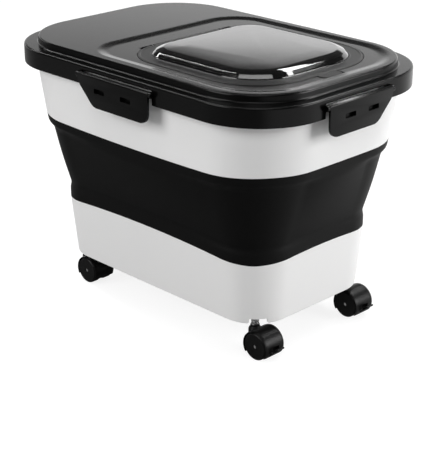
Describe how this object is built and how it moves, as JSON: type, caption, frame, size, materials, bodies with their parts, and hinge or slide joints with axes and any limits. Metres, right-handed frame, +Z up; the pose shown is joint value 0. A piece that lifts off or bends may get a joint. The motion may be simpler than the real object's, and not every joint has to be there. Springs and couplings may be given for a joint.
{
  "type": "rice bin with flip lid",
  "caption": "Collapsible kitchen bin with a folding band, a latched lid, a flip hatch with a domed window, and braked casters.",
  "frame": {"origin": "on the floor, under the middle of the bin", "axes": "+X along the length towards the hatch's free edge, +Y to the long side away from the picture, +Z up"},
  "size_m": [0.4432, 0.3044, 0.3199],
  "materials": {
    "white_shell": "satin white polypropylene",
    "black_rubber": "matte black rubber",
    "black_plastic": "semi-gloss black",
    "seal_silicone": "gray silicone",
    "window": "clear smoky plastic",
    "steel": "bright steel",
    "caster_plastic": "black nylon"
  },
  "bodies": {
    "base": {"base_shell": "white_shell", "fold_band": "black_rubber", "socket_right_front": "caster_plastic", "socket_right_back": "caster_plastic", "socket_left_front": "caster_plastic", "socket_left_back": "caster_plastic"},
    "rim": {"rim_frame": "white_shell"},
    "lid": {"lid_panel": "black_plastic", "lid_seal": "seal_silicone", "hatch_pin_front": "steel", "hatch_pin_back": "steel", "latch_pin_front": "steel", "latch_pin_back": "steel", "latch_pin_right": "steel", "latch_pin_left": "steel"},
    "hatch": {"hatch_frame": "black_plastic", "hatch_window": "window", "hatch_seal": "seal_silicone"},
    "latch_front": {"latch_front": "black_plastic"},
    "latch_back": {"latch_back": "black_plastic"},
    "latch_right": {"latch_right": "black_plastic"},
    "latch_left": {"latch_left": "black_plastic"},
    "caster_right_front": {"hood_right_front": "caster_plastic", "stem_right_front": "steel", "axle_right_front": "steel", "pedal_pin_right_front": "steel"},
    "wheel_right_front_a": {"wheel_right_front_a": "caster_plastic"},
    "wheel_right_front_b": {"wheel_right_front_b": "caster_plastic"},
    "pedal_right_front": {"pedal_right_front": "caster_plastic"},
    "caster_right_back": {"hood_right_back": "caster_plastic", "stem_right_back": "steel", "axle_right_back": "steel", "pedal_pin_right_back": "steel"},
    "wheel_right_back_a": {"wheel_right_back_a": "caster_plastic"},
    "wheel_right_back_b": {"wheel_right_back_b": "caster_plastic"},
    "pedal_right_back": {"pedal_right_back": "caster_plastic"},
    "caster_left_front": {"hood_left_front": "caster_plastic", "stem_left_front": "steel", "axle_left_front": "steel"},
    "wheel_left_front_a": {"wheel_left_front_a": "caster_plastic"},
    "wheel_left_front_b": {"wheel_left_front_b": "caster_plastic"},
    "caster_left_back": {"hood_left_back": "caster_plastic", "stem_left_back": "steel", "axle_left_back": "steel"},
    "wheel_left_back_a": {"wheel_left_back_a": "caster_plastic"},
    "wheel_left_back_b": {"wheel_left_back_b": "caster_plastic"}
  },
  "joints": [
    {"name": "collapse", "type": "slide", "parent": "base", "child": "rim", "axis": [0, 0, 1], "range_m": [-0.178, 0], "deforming": ["fold_band"]},
    {"name": "lid_lift", "type": "slide", "parent": "rim", "child": "lid", "axis": [0, 0, 1], "range_m": [0, 0.12]},
    {"name": "hatch_hinge", "type": "hinge", "parent": "lid", "child": "hatch", "pos_m": [-0.043, 0, 0.3095], "axis": [0, -1, 0], "range_deg": [0, 110]},
    {"name": "latch_front_hinge", "type": "hinge", "parent": "lid", "child": "latch_front", "pos_m": [0, -0.1486, 0.2942], "axis": [-1, 0, 0], "range_deg": [0, 105]},
    {"name": "latch_back_hinge", "type": "hinge", "parent": "lid", "child": "latch_back", "pos_m": [0, 0.1486, 0.2942], "axis": [1, 0, 0], "range_deg": [0, 105]},
    {"name": "latch_right_hinge", "type": "hinge", "parent": "lid", "child": "latch_right", "pos_m": [0.218, 0, 0.2942], "axis": [0, -1, 0], "range_deg": [0, 105]},
    {"name": "latch_left_hinge", "type": "hinge", "parent": "lid", "child": "latch_left", "pos_m": [-0.218, 0, 0.2942], "axis": [0, 1, 0], "range_deg": [0, 105]},
    {"name": "swivel_right_front", "type": "hinge", "parent": "base", "child": "caster_right_front", "pos_m": [0.1441, -0.0765, 0.0402], "axis": [0, 0, 1], "continuous": true},
    {"name": "roll_right_front_a", "type": "hinge", "parent": "caster_right_front", "child": "wheel_right_front_a", "pos_m": [0.1571, -0.0765, 0.016], "axis": [0, 1, 0], "continuous": true},
    {"name": "roll_right_front_b", "type": "hinge", "parent": "caster_right_front", "child": "wheel_right_front_b", "pos_m": [0.1571, -0.0765, 0.016], "axis": [0, 1, 0], "continuous": true},
    {"name": "brake_right_front", "type": "hinge", "parent": "caster_right_front", "child": "pedal_right_front", "pos_m": [0.17557, -0.0765, 0.012], "axis": [0, 1, 0], "range_deg": [0, 20]},
    {"name": "swivel_right_back", "type": "hinge", "parent": "base", "child": "caster_right_back", "pos_m": [0.1441, 0.0765, 0.0402], "axis": [0, 0, 1], "continuous": true},
    {"name": "roll_right_back_a", "type": "hinge", "parent": "caster_right_back", "child": "wheel_right_back_a", "pos_m": [0.1571, 0.0765, 0.016], "axis": [0, 1, 0], "continuous": true},
    {"name": "roll_right_back_b", "type": "hinge", "parent": "caster_right_back", "child": "wheel_right_back_b", "pos_m": [0.1571, 0.0765, 0.016], "axis": [0, 1, 0], "continuous": true},
    {"name": "brake_right_back", "type": "hinge", "parent": "caster_right_back", "child": "pedal_right_back", "pos_m": [0.17557, 0.0765, 0.012], "axis": [0, 1, 0], "range_deg": [0, 20]},
    {"name": "swivel_left_front", "type": "hinge", "parent": "base", "child": "caster_left_front", "pos_m": [-0.1441, -0.0765, 0.0402], "axis": [0, 0, 1], "continuous": true},
    {"name": "roll_left_front_a", "type": "hinge", "parent": "caster_left_front", "child": "wheel_left_front_a", "pos_m": [-0.1311, -0.0765, 0.016], "axis": [0, 1, 0], "continuous": true},
    {"name": "roll_left_front_b", "type": "hinge", "parent": "caster_left_front", "child": "wheel_left_front_b", "pos_m": [-0.1311, -0.0765, 0.016], "axis": [0, 1, 0], "continuous": true},
    {"name": "swivel_left_back", "type": "hinge", "parent": "base", "child": "caster_left_back", "pos_m": [-0.1441, 0.0765, 0.0402], "axis": [0, 0, 1], "continuous": true},
    {"name": "roll_left_back_a", "type": "hinge", "parent": "caster_left_back", "child": "wheel_left_back_a", "pos_m": [-0.1311, 0.0765, 0.016], "axis": [0, 1, 0], "continuous": true},
    {"name": "roll_left_back_b", "type": "hinge", "parent": "caster_left_back", "child": "wheel_left_back_b", "pos_m": [-0.1311, 0.0765, 0.016], "axis": [0, 1, 0], "continuous": true}
  ]
}
